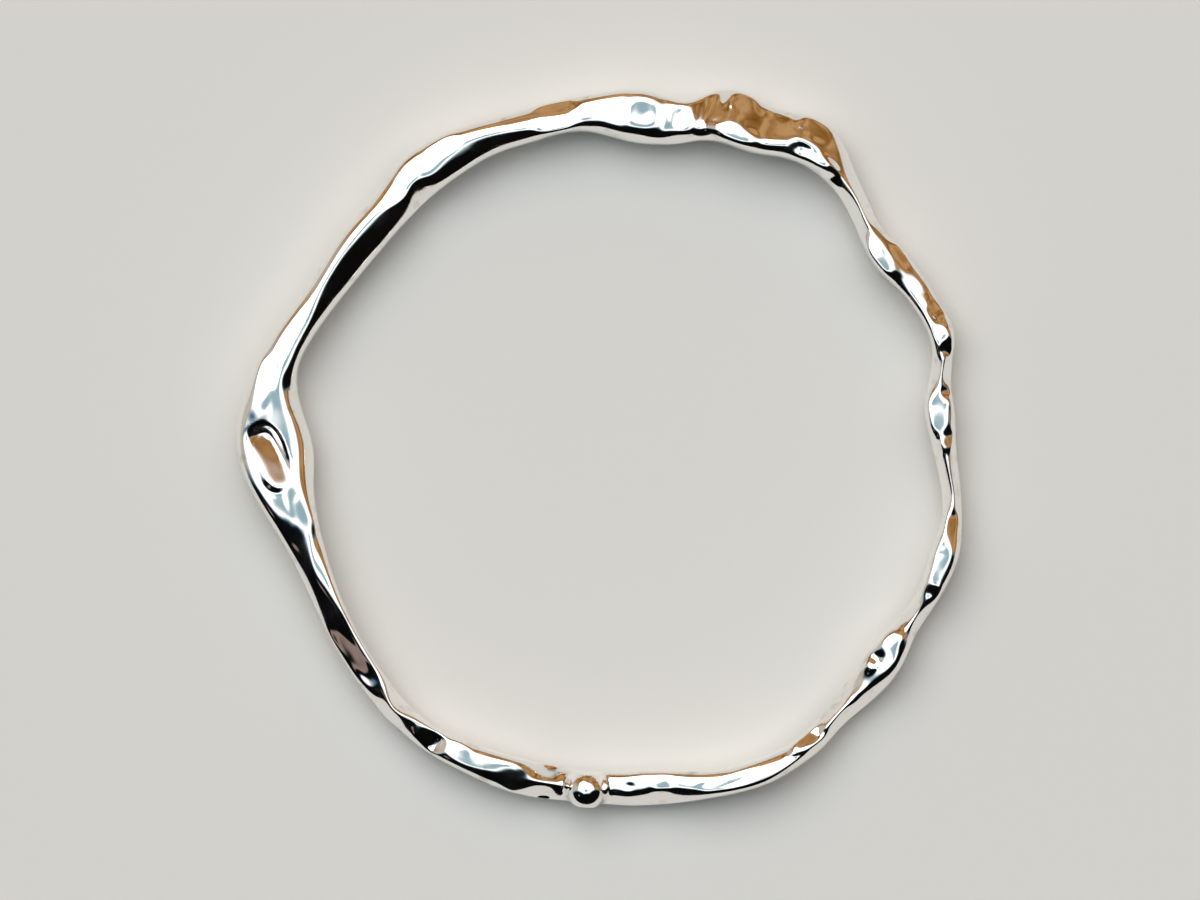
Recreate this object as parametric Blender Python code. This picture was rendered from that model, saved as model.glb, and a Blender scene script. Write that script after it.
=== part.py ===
"""Finger ring with a molten look, cast in one piece of silver.

The band is one closed wire of swellings, necks, twists and hollows, no two alike, with one
round granule on it. It lies on its side, as it does on a table: +Z is the finger's axis, and +Y
is the side with the broad dished swelling. The origin is the middle of the ring's outline, on
the plane that the ring rests on. Lengths are in metres.
"""

import math
from typing import NamedTuple

import bpy
import numpy as np
from mathutils import Vector

MM = 0.001

# Driving sizes. The band's wall and height are those of a section whose shares are 1.
FINGER_HOLE_DIAMETER = 17.3 * MM
BAND_WALL = 1.05 * MM
BAND_HEIGHT = 1.6 * MM
GRANULE_DIAMETER = 1.15 * MM
GRANULE_SUNK = 0.42 * MM
MARK_SIZE = 1.0 * MM

# The widest swelling is on one side, so the finger hole sits off the middle of the outline. This
# is how far towards +X, as a share of BAND_WALL.
HOLE_SHIFT = 0.54

# How wide the rounding along the top's crest is, as a share of half the wall.
CREASE = 0.18

# Roundness of the sections' lower half, where 2 is an ellipse.
LOWER_SQUARE = 2.3

# Where a facet has wholly blended into the band, as a share of its reach, and how high up the
# section's side it is at full strength, as a sine of the degrees round the section.
FACET_RIM = 1.05
FACET_FULL = 0.4

# Where the granule sits: degrees round the ring, and degrees round the wire's section.
GRANULE_ANGLE = 264.3
GRANULE_AROUND = 84.0

# How finely the solid is faceted.
STATIONS = 300
SECTION_POINTS = 18
GRANULE_SEGMENTS = 16
GRANULE_RINGS = 10

# Bright silver, as linear red, green, blue and alpha, and the roughness of a tumbled polish.
SILVER_COLOUR = (0.86, 0.85, 0.82, 1.0)
POLISH_ROUGHNESS = 0.12


class Section(NamedTuple):
    """One section of the band, in a plane through the finger's axis.

    angle is in degrees, anticlockwise from +X seen from above. gap is the space between the
    finger hole and the metal, and wall the radial thickness, both as shares of BAND_WALL. top
    and foot are heights at the crest and under the middle of the wall, as shares of
    BAND_HEIGHT: a foot below 0 is planed off flat at the resting plane. crest is where the top
    is highest, from -1 at the finger hole to 1 at the outside. inward and outward are how
    steeply the top falls from there to either side, as fall over run. square is the upper
    half's roundness: 2 is an ellipse, more is boxier.
    """

    angle: float
    gap: float
    wall: float
    top: float
    foot: float
    crest: float
    inward: float
    outward: float
    square: float


SECTIONS = (
    Section(3, 0.07, 0.72, 0.90, 0.10, 0.00, 0.25, 0.25, 3.0),
    Section(7, 0.00, 0.80, 0.90, 0.06, 0.00, 0.05, 0.10, 4.0),
    Section(10.5, 0.12, 0.69, 0.88, 0.12, 0.00, 0.10, 0.10, 3.4),
    Section(13, 0.29, 0.60, 0.92, 0.20, 0.00, 1.20, 1.20, 2.0),
    Section(15.5, 0.45, 0.58, 0.92, 0.22, 0.00, 0.80, 0.80, 2.2),
    Section(18, 0.56, 0.64, 0.92, 0.18, -0.20, 0.00, 0.20, 3.6),
    Section(24, 0.56, 0.67, 0.90, 0.10, -0.40, 0.00, 0.60, 4.6),
    Section(29, 0.42, 0.72, 0.88, 0.14, -0.30, 0.00, 0.30, 5.0),
    Section(35, 0.20, 0.85, 0.98, -0.04, 0.10, 0.05, 0.65, 5.0),
    Section(40, 0.29, 0.68, 0.96, 0.02, 0.10, 0.05, 0.50, 4.2),
    Section(43.5, 0.47, 0.64, 0.95, 0.14, 0.00, 1.20, 1.20, 2.0),
    Section(47, 0.66, 0.67, 0.93, 0.20, 0.00, 1.20, 1.20, 2.0),
    Section(50.5, 0.80, 0.80, 0.92, 0.15, -0.20, 0.60, 0.80, 2.4),
    Section(55, 0.86, 1.15, 1.04, 0.04, -0.30, 0.25, 0.55, 4.0),
    Section(60, 0.76, 1.31, 1.12, -0.07, -0.30, 0.25, 0.62, 4.4),
    Section(66, 0.48, 1.36, 1.10, -0.09, -0.50, 0.05, 0.58, 4.6),
    Section(72, 0.43, 1.48, 1.12, 0.00, -0.30, 0.05, 0.60, 4.8),
    Section(75.8, 0.32, 1.33, 1.00, 0.08, -0.50, 0.50, 0.50, 4.4),
    Section(78.7, 0.15, 1.18, 0.98, 0.20, -0.50, 1.00, 0.05, 4.0),
    Section(81.8, 0.04, 1.26, 0.98, 0.10, -0.75, 2.00, 0.05, 4.6),
    Section(86, 0.01, 1.40, 1.00, 0.00, -0.75, 2.00, 0.05, 5.6),
    Section(91.5, 0.16, 1.23, 0.98, -0.08, -0.75, 2.00, 0.10, 4.4),
    Section(95.2, 0.32, 1.01, 0.92, 0.04, -0.60, 0.60, 0.10, 3.4),
    Section(98.5, 0.38, 0.93, 0.94, 0.00, -0.60, 0.10, 0.30, 3.0),
    Section(105, 0.35, 0.91, 0.96, 0.10, -0.20, 0.20, 0.40, 3.0),
    Section(113, 0.37, 0.96, 1.00, 0.10, 0.10, 0.35, 0.20, 3.2),
    Section(120, 0.30, 1.20, 0.97, 0.00, 0.00, 0.25, 0.10, 3.8),
    Section(125, 0.26, 1.26, 0.96, 0.06, -0.40, 0.80, 0.10, 4.2),
    Section(127.8, 0.24, 1.24, 0.96, 0.14, -0.20, 1.10, 0.05, 3.8),
    Section(130.4, 0.20, 1.18, 0.98, 0.13, -0.30, 0.90, 0.10, 3.2),
    Section(134, 0.15, 1.10, 1.02, 0.10, 0.10, 0.50, 0.15, 3.2),
    Section(143, 0.13, 1.08, 1.04, 0.02, 0.30, 0.45, 0.15, 3.6),
    Section(152, 0.29, 0.92, 1.00, 0.12, 0.20, 0.45, 0.20, 3.2),
    Section(160, 0.54, 0.94, 1.00, 0.08, -0.50, 0.30, 0.10, 3.6),
    Section(167, 0.65, 1.13, 1.02, -0.03, -0.30, 0.20, 0.10, 4.0),
    Section(173, 0.35, 1.62, 1.02, -0.08, -0.70, 1.80, 0.05, 4.6),
    Section(180, 0.00, 2.03, 1.00, -0.09, -0.80, 2.00, 0.05, 5.6),
    Section(186, 0.03, 1.70, 1.04, -0.06, -0.80, 2.00, 0.00, 5.6),
    Section(193, 0.07, 1.19, 1.06, 0.06, -0.80, 1.20, 0.10, 5.0),
    Section(202, 0.14, 0.83, 1.02, 0.14, 0.05, 0.00, 0.70, 4.6),
    Section(213, 0.31, 0.72, 0.98, 0.16, -1.10, 0.00, 0.50, 5.6),
    Section(222, 0.47, 0.70, 0.94, 0.08, -1.10, 0.00, 0.45, 5.2),
    Section(225.5, 0.54, 0.70, 0.93, 0.04, -0.40, 0.30, 0.60, 2.8),
    Section(228.5, 0.63, 0.69, 0.92, 0.00, 0.00, 1.20, 1.20, 2.0),
    Section(231.5, 0.68, 0.66, 0.90, -0.03, -0.30, 0.60, 0.70, 2.6),
    Section(236, 0.71, 0.67, 0.88, -0.06, -1.00, 0.00, 0.40, 4.6),
    Section(242, 0.61, 0.77, 0.93, -0.08, 0.30, 0.05, 0.15, 4.4),
    Section(248, 0.50, 0.90, 0.92, 0.00, 0.20, 0.05, 0.30, 4.0),
    Section(254, 0.45, 0.95, 0.84, 0.10, 0.10, 0.10, 0.40, 2.8),
    Section(257.5, 0.45, 0.90, 0.80, 0.14, 0.00, 1.10, 1.10, 2.0),
    Section(261, 0.43, 0.88, 0.70, 0.13, 0.00, 0.10, 0.10, 2.6),
    Section(266.5, 0.42, 0.87, 0.68, 0.09, 0.00, 0.10, 0.60, 4.0),
    Section(270.5, 0.40, 0.92, 0.78, 0.02, 0.30, 0.05, 1.20, 4.6),
    Section(276, 0.40, 0.95, 0.88, -0.03, 0.10, 0.05, 1.20, 5.4),
    Section(285, 0.66, 0.77, 0.96, 0.02, 0.40, 0.20, 0.45, 4.0),
    Section(294, 0.84, 0.72, 1.00, 0.06, 0.50, 0.35, 0.35, 4.0),
    Section(301, 0.86, 0.64, 0.96, 0.18, 0.30, 0.50, 1.10, 2.8),
    Section(305.5, 0.77, 0.62, 0.92, 0.22, 0.00, 0.60, 0.90, 2.6),
    Section(308.5, 0.64, 0.64, 0.90, 0.20, 0.00, 1.20, 1.20, 2.0),
    Section(313, 0.50, 0.78, 0.88, 0.06, 0.00, 1.10, 1.10, 2.1),
    Section(317.5, 0.39, 0.95, 0.90, -0.06, 0.30, 0.20, 1.00, 3.6),
    Section(322, 0.33, 0.98, 0.98, -0.09, 0.60, 0.20, 0.90, 4.6),
    Section(326.5, 0.42, 0.74, 0.92, 0.08, 0.20, 0.10, 0.60, 4.2),
    Section(330.5, 0.54, 0.60, 0.88, 0.17, 0.00, 1.20, 1.20, 2.0),
    Section(333.8, 0.60, 0.60, 0.92, 0.13, 0.00, 0.30, 0.30, 2.6),
    Section(338, 0.58, 0.68, 0.98, 0.03, 0.50, 0.00, 0.60, 4.4),
    Section(342, 0.54, 0.75, 1.00, -0.03, 0.50, 0.00, 0.60, 4.6),
    Section(347, 0.58, 0.60, 0.95, 0.10, -0.40, 0.00, 0.55, 3.6),
    Section(351, 0.53, 0.52, 0.88, 0.20, 0.00, 0.90, 0.90, 2.2),
    Section(355.5, 0.35, 0.55, 0.90, 0.20, 0.00, 0.90, 0.90, 2.0),
    Section(359.5, 0.18, 0.63, 0.90, 0.15, 0.00, 0.50, 0.50, 2.1),
)


class Mark(NamedTuple):
    """One hollow or pip in the band's surface.

    angle is in degrees round the ring, and around in degrees round the section: 0 is the outer
    side, 90 the top, 180 the finger's side and 270 the underside. reach is its radius and rise
    its height, as shares of MARK_SIZE, with a rise below 0 for a hollow. long is how many times
    longer it is along the band than across.
    """

    angle: float
    around: float
    reach: float
    rise: float
    long: float


MARKS = (
    Mark(9.9, 55, 0.26, -0.10, 1.0),
    Mark(17, 73, 0.28, -0.10, 1.0),
    Mark(31, 325, 0.42, -0.10, 1.6),
    Mark(42, 117, 0.22, -0.06, 1.0),
    Mark(66, 215, 0.50, -0.12, 1.6),
    Mark(108, 325, 0.45, -0.10, 2.0),
    Mark(141, 325, 0.50, -0.10, 2.0),
    Mark(172, 215, 0.55, -0.12, 1.8),
    Mark(205, 325, 0.42, -0.09, 2.2),
    Mark(245, 215, 0.40, -0.09, 2.0),
    Mark(271.5, 101, 0.16, -0.03, 1.3),
    Mark(288, 325, 0.42, -0.10, 2.0),
    Mark(313, 90, 0.18, -0.04, 2.0),
    Mark(325, 215, 0.38, -0.08, 1.6),
)


class Facet(NamedTuple):
    """One flat that set on the band's top as it cooled.

    angle and around are its middle, in degrees round the ring and round the section. long and
    wide are half its size along the band and across, and lift is how far it stands over the
    surface at its middle, all as shares of MARK_SIZE. It falls with a slope of fall towards a
    compass direction in degrees from +X, and crown is how much steeper it gets towards its
    edges: below 0 it is dished. turn is the degrees from the band's run to its long side, and
    core the share of its reach that is wholly flat.
    """

    angle: float
    around: float
    long: float
    wide: float
    lift: float
    fall: float
    toward: float
    crown: float = 0.0
    turn: float = 0.0
    core: float = 0.45


FACETS = (
    Facet(1.6, 80, 0.36, 0.24, 0.00, 0.50, 32, 0.10),
    Facet(6, 101, 0.70, 0.38, 0.00, 0.05, 100, 0.08),
    Facet(20, 90, 0.25, 0.26, 0.00, 0.10, 120, 0.10),
    Facet(24.5, 70, 0.46, 0.26, 0.00, 0.60, 15, 0.10, 10.0),
    Facet(35, 54, 0.58, 0.20, 0.00, 0.62, 25, 0.10),
    Facet(36, 115, 0.75, 0.28, 0.00, 0.05, 120, 0.12),
    Facet(51.4, 125, 0.22, 0.16, 0.00, 0.40, 260, 0.10),
    Facet(58.8, 57, 0.70, 0.38, 0.00, 0.60, 52, 0.14),
    Facet(56.5, 118, 0.85, 0.26, 0.00, 0.10, 150, 0.12),
    Facet(70.5, 57, 0.60, 0.40, 0.00, 0.60, 62, 0.14),
    Facet(70, 121, 0.85, 0.30, -0.02, 0.04, 120, 0.04),
    Facet(79, 90, 0.40, 0.50, 0.00, 0.12, 120, 0.10),
    Facet(86, 82, 0.62, 0.60, 0.00, 0.03, 90, -0.20),
    Facet(101, 112, 0.80, 0.34, 0.00, 0.12, 100, 0.10),
    Facet(101, 54, 0.75, 0.20, 0.00, 0.62, 95, 0.10),
    Facet(121, 65, 0.70, 0.32, 0.00, 0.10, 110, 0.15),
    Facet(128, 78, 0.42, 0.34, 0.00, 0.12, 150, 0.10),
    Facet(170, 70, 1.10, 0.40, 0.00, 0.10, 120, 0.12),
    Facet(191, 112, 0.85, 0.38, 0.00, 0.00, 90, 0.16, 10.0),
    Facet(181.4, 82, 0.95, 0.42, -0.08, 0.50, 60, 0.05, 22.0, 0.85),
    Facet(217, 84, 1.20, 0.28, 0.00, 0.48, 215, 0.12),
    Facet(236, 90, 0.58, 0.36, 0.00, 0.35, 290, 0.10),
    Facet(242, 107, 0.50, 0.32, 0.00, 0.08, 140, 0.12),
    Facet(251, 61, 0.50, 0.20, 0.00, 0.30, 290, 0.10, -20.0),
    Facet(277, 107, 0.40, 0.32, 0.00, 0.08, 110, 0.12),
    Facet(288, 96, 1.00, 0.24, 0.00, 0.10, 110, 0.15),
    Facet(302.5, 115, 0.70, 0.24, 0.00, 0.60, 90, 0.10),
    Facet(320, 117, 0.32, 0.24, 0.00, 0.55, 90, 0.10),
    Facet(325, 101, 0.40, 0.28, 0.00, 0.10, 130, 0.12),
    Facet(336, 79, 0.25, 0.26, 0.00, 0.45, 250, 0.10),
    Facet(341, 101, 0.45, 0.28, 0.00, 0.08, 150, 0.12),
    Facet(347, 90, 0.48, 0.26, 0.00, 0.58, 25, 0.10),
)


def around_the_ring(angles, values, at):
    """Values at other angles, on a smooth closed curve (a periodic cubic spline)."""
    x = np.radians(np.asarray(angles, float))
    y = np.asarray(values, float)
    step = np.diff(np.append(x, x[0] + 2 * math.pi))
    rise = (np.roll(y, -1) - y) / step
    before = np.roll(step, 1)
    count = len(x)
    system = np.zeros((count, count))
    for i in range(count):
        system[i, i] = 2 * (before[i] + step[i])
        system[i, i - 1] += before[i]
        system[i, (i + 1) % count] += step[i]
    bend = np.linalg.solve(system, 6 * (rise - np.roll(rise, 1)))
    turn = (np.asarray(at, float) - x[0]) % (2 * math.pi)
    i = np.clip(np.searchsorted(x - x[0], turn, side="right") - 1, 0, count - 1)
    j = (i + 1) % count
    to_next = x[0] + np.cumsum(step)[i] - (x[0] + turn)
    from_last = step[i] - to_next
    return (
        bend[i] * to_next**3 / (6 * step[i])
        + bend[j] * from_last**3 / (6 * step[i])
        + (y[i] / step[i] - bend[i] * step[i] / 6) * to_next
        + (y[j] / step[i] - bend[j] * step[i] / 6) * from_last
    )


def column(name, angle):
    """One column of the section table, smoothed round the ring."""
    return around_the_ring(
        [s.angle for s in SECTIONS], [getattr(s, name) for s in SECTIONS], angle
    )


def soft_ramp(run, soft):
    """0 well below 0 and the run itself well above it, with a rounded turn between."""
    return (run + np.sqrt(run**2 + soft**2)) / 2


def smooth_step(value, low, high):
    """0 below low, 1 above high, and a smooth step between."""
    share = np.clip((value - low) / (high - low), 0, 1)
    return share**2 * (3 - 2 * share)


def band_shape(angle, around):
    """Points of the band before its facets and marks, and the middle of each one's section.

    angle and around are arrays in radians. A section is a superellipse whose top falls away
    from its crest.
    """
    half_wall = column("wall", angle) * BAND_WALL / 2
    middle_radius = FINGER_HOLE_DIAMETER / 2 + column("gap", angle) * BAND_WALL + half_wall
    top = column("top", angle) * BAND_HEIGHT
    foot = column("foot", angle) * BAND_HEIGHT
    square = np.where(np.sin(around) > 0, column("square", angle), LOWER_SQUARE)

    reach = np.abs(np.cos(around)) ** square + np.abs(np.sin(around)) ** square
    across, up = np.stack([np.cos(around), np.sin(around)]) / reach ** (1 / square)
    out_of_crest = across - column("crest", angle)
    fall = column("outward", angle) * soft_ramp(out_of_crest, CREASE)
    fall += column("inward", angle) * soft_ramp(-out_of_crest, CREASE)
    middle_height = (top + foot) / 2
    height = middle_height + (top - foot) / 2 * up - fall * half_wall * np.clip(up, 0, None)

    middle = on_ring(angle, middle_radius, middle_height)
    return on_ring(angle, middle_radius + half_wall * across, height), middle


def on_ring(angle, radius, height):
    """Points at a radius from the finger's axis and a height above the resting plane."""
    shift = HOLE_SHIFT * BAND_WALL
    return np.stack([shift + radius * np.cos(angle), radius * np.sin(angle), height], axis=-1)


def place_on_band(angle, around):
    """A point of the band's surface and the way out of the metal there; angles in degrees."""
    point, middle = band_shape(np.radians([angle]), np.radians([around]))
    outwards = point[0] - middle[0]
    return point[0], outwards / np.linalg.norm(outwards)


def mark_moves(mark, points):
    """How far one hollow or pip moves each of the points."""
    centre, outwards = place_on_band(mark.angle, mark.around)
    turn = math.radians(mark.angle)
    along = np.array([-math.sin(turn), math.cos(turn), 0])
    reach = mark.reach * MARK_SIZE
    offset = points - centre
    run = offset @ along
    across = np.linalg.norm(offset - run[..., None] * along, axis=-1)
    swell = np.clip(1 - (across / reach) ** 2 - (run / reach / mark.long) ** 2, 0, None) ** 2
    return outwards * (mark.rise * MARK_SIZE * swell)[..., None]


def facet_rise(facet, points):
    """How far one facet raises each of the points, in metres."""
    centre, _ = place_on_band(facet.angle, facet.around)
    turn = math.radians(facet.angle + facet.turn)
    offset = points[..., :2] - centre[:2]
    run = offset @ np.array([-math.sin(turn), math.cos(turn)])
    across = offset @ np.array([math.cos(turn), math.sin(turn)])
    long, wide = facet.long * MARK_SIZE, facet.wide * MARK_SIZE
    reach = (np.abs(run / long) ** 3 + np.abs(across / wide) ** 3) ** (1 / 3)
    toward = math.radians(facet.toward)
    down = offset @ np.array([math.cos(toward), math.sin(toward)])
    crowned = (run**2 / long + across**2 / wide) / 2
    flat = centre[2] + facet.lift * MARK_SIZE - facet.fall * down - facet.crown * crowned
    return (flat - points[..., 2]) * (1 - smooth_step(reach, facet.core, FACET_RIM))


def band_surface(angle, around):
    """Points of the finished band: shape, facets, marks, and the underside planed flat."""
    points, _ = band_shape(angle, around)
    upper = smooth_step(np.sin(around), 0.0, FACET_FULL)
    for facet in FACETS:
        points[..., 2] += facet_rise(facet, points) * upper
    points = points + sum(mark_moves(mark, points) for mark in MARKS)
    points[..., 2] = np.maximum(points[..., 2], 0)
    return points


def clear_scene():
    """Removes whatever the scene holds."""
    for old in list(bpy.data.objects):
        bpy.data.objects.remove(old)


def new_collection(name):
    """A collection of that name in the scene."""
    made = bpy.data.collections.new(name)
    bpy.context.scene.collection.children.link(made)
    return made


def move_to(obj, collection):
    """Puts obj in that collection alone."""
    for old in list(obj.users_collection):
        old.objects.unlink(obj)
    collection.objects.link(obj)


def polished_silver():
    """Bright cast silver with a tumbled polish."""
    material = bpy.data.materials.new("polished_silver")
    material.use_nodes = True
    shader = material.node_tree.nodes["Principled BSDF"]
    shader.inputs["Base Color"].default_value = SILVER_COLOUR
    shader.inputs["Metallic"].default_value = 1.0
    shader.inputs["Roughness"].default_value = POLISH_ROUGHNESS
    material.diffuse_color = SILVER_COLOUR
    return material


def make_band(collection):
    """The band: a torus whose every vertex is moved to the section table's surface."""
    wire_radius = BAND_WALL / 2
    ring_radius = FINGER_HOLE_DIAMETER / 2 + wire_radius
    bpy.ops.mesh.primitive_torus_add(
        major_segments=STATIONS,
        minor_segments=SECTION_POINTS,
        major_radius=ring_radius,
        minor_radius=wire_radius,
    )
    band = bpy.context.object
    band.name = "ring_band"
    move_to(band, collection)
    torus = np.array([v.co for v in band.data.vertices])
    angle = np.arctan2(torus[:, 1], torus[:, 0])
    around = np.arctan2(torus[:, 2], np.hypot(torus[:, 0], torus[:, 1]) - ring_radius)
    band.data.vertices.foreach_set("co", band_surface(angle, around).ravel())
    band.data.update()
    return band


def make_granule(collection):
    """The round granule, sunk into the band where it fused with it."""
    seat, outwards = place_on_band(GRANULE_ANGLE, GRANULE_AROUND)
    centre = Vector(seat) + Vector(outwards) * (GRANULE_DIAMETER / 2 - GRANULE_SUNK)
    bpy.ops.mesh.primitive_uv_sphere_add(
        segments=GRANULE_SEGMENTS,
        ring_count=GRANULE_RINGS,
        radius=GRANULE_DIAMETER / 2,
        location=centre,
    )
    granule = bpy.context.object
    granule.name = "granule_tool"
    move_to(granule, collection)
    granule.hide_render = True
    granule.display_type = "WIRE"
    return granule


def main():
    """Builds the ring as one solid."""
    clear_scene()
    ring_parts = new_collection("molten_ring")
    tools = new_collection("molten_ring_tools")
    band = make_band(ring_parts)
    fuse = band.modifiers.new("fuse_granule", "BOOLEAN")
    fuse.operation = "UNION"
    fuse.solver = "EXACT"
    fuse.object = make_granule(tools)
    band.data.materials.append(polished_silver())
    band.data.shade_smooth()


main()
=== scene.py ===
"""Looks of a finger ring with a molten look, in polished cast silver.

The ring is one piece: a thin band of swellings, necks and hollows with one round granule fused
to it. It lies on its side on a pale table, seen from straight above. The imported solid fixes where
the metal is, and this script lofts the same sections much finer, wears the edges and adds the
ripples and pits of cast metal with Geometry Nodes, and gives it all a silver finish.
"""

from __future__ import annotations

import logging
import math
from dataclasses import dataclass
from typing import Any, NamedTuple

import bpy
import numpy as np
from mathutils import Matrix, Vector

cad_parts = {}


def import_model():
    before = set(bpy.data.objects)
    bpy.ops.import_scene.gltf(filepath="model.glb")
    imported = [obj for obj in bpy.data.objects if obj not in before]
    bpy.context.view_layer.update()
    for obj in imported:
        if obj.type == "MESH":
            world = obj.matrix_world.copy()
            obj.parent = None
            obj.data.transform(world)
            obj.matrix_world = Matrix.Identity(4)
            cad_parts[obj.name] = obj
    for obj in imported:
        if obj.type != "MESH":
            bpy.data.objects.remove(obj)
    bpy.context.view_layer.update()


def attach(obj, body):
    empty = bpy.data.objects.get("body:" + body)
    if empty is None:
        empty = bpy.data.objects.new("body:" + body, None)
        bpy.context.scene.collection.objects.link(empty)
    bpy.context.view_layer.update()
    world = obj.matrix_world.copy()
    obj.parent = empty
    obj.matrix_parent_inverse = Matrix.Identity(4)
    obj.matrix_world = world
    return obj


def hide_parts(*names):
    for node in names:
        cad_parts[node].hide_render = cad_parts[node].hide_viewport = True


log = logging.getLogger("molten_ring")

MM = 0.001

Array = np.ndarray


def linear(hex_colour: str) -> tuple[float, float, float, float]:
    """Turns an sRGB colour into linear light.

    Args:
        hex_colour: six hex digits after a hash sign.

    Returns:
        Red, green, blue and an alpha of 1.
    """
    parts = [int(hex_colour[i : i + 2], 16) / 255 for i in (1, 3, 5)]
    light = [c / 12.92 if c <= 0.04045 else ((c + 0.055) / 1.055) ** 2.4 for c in parts]
    return (light[0], light[1], light[2], 1.0)


def add_node(
    tree: bpy.types.NodeTree,
    kind: str,
    settings: dict[str, Any] | None = None,
    values: dict[str | int, Any] | None = None,
    links: dict[str | int, bpy.types.NodeSocket] | None = None,
) -> bpy.types.Node:
    """Adds one node to a tree.

    Args:
        tree: the node tree.
        kind: the node's type name.
        settings: the node's own properties.
        values: constant inputs, by name or number.
        links: inputs that take another node's output, by name or number.

    Returns:
        The new node.
    """
    node = tree.nodes.new(kind)
    for name, value in (settings or {}).items():
        setattr(node, name, value)
    for name, value in (values or {}).items():
        node.inputs[name].default_value = value
    for name, socket in (links or {}).items():
        tree.links.new(socket, node.inputs[name])
    return node


class Section(NamedTuple):
    """One section of the band, in a plane through the finger's axis.

    angle is in degrees, anticlockwise from +X seen from above. gap is the space between the
    finger hole and the metal, and wall the radial thickness, both as shares of the band's wall.
    top and foot are heights at the crest and under the middle of the wall, as shares of the
    band's height: a foot below 0 is planed off flat. crest is where the top is highest, from -1
    at the finger hole to 1 at the outside. inward and outward are how steeply the top falls from
    there to either side, as fall over run. square is the upper half's roundness: 2 is an
    ellipse, more is boxier.
    """

    angle: float
    gap: float
    wall: float
    top: float
    foot: float
    crest: float
    inward: float
    outward: float
    square: float


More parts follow.
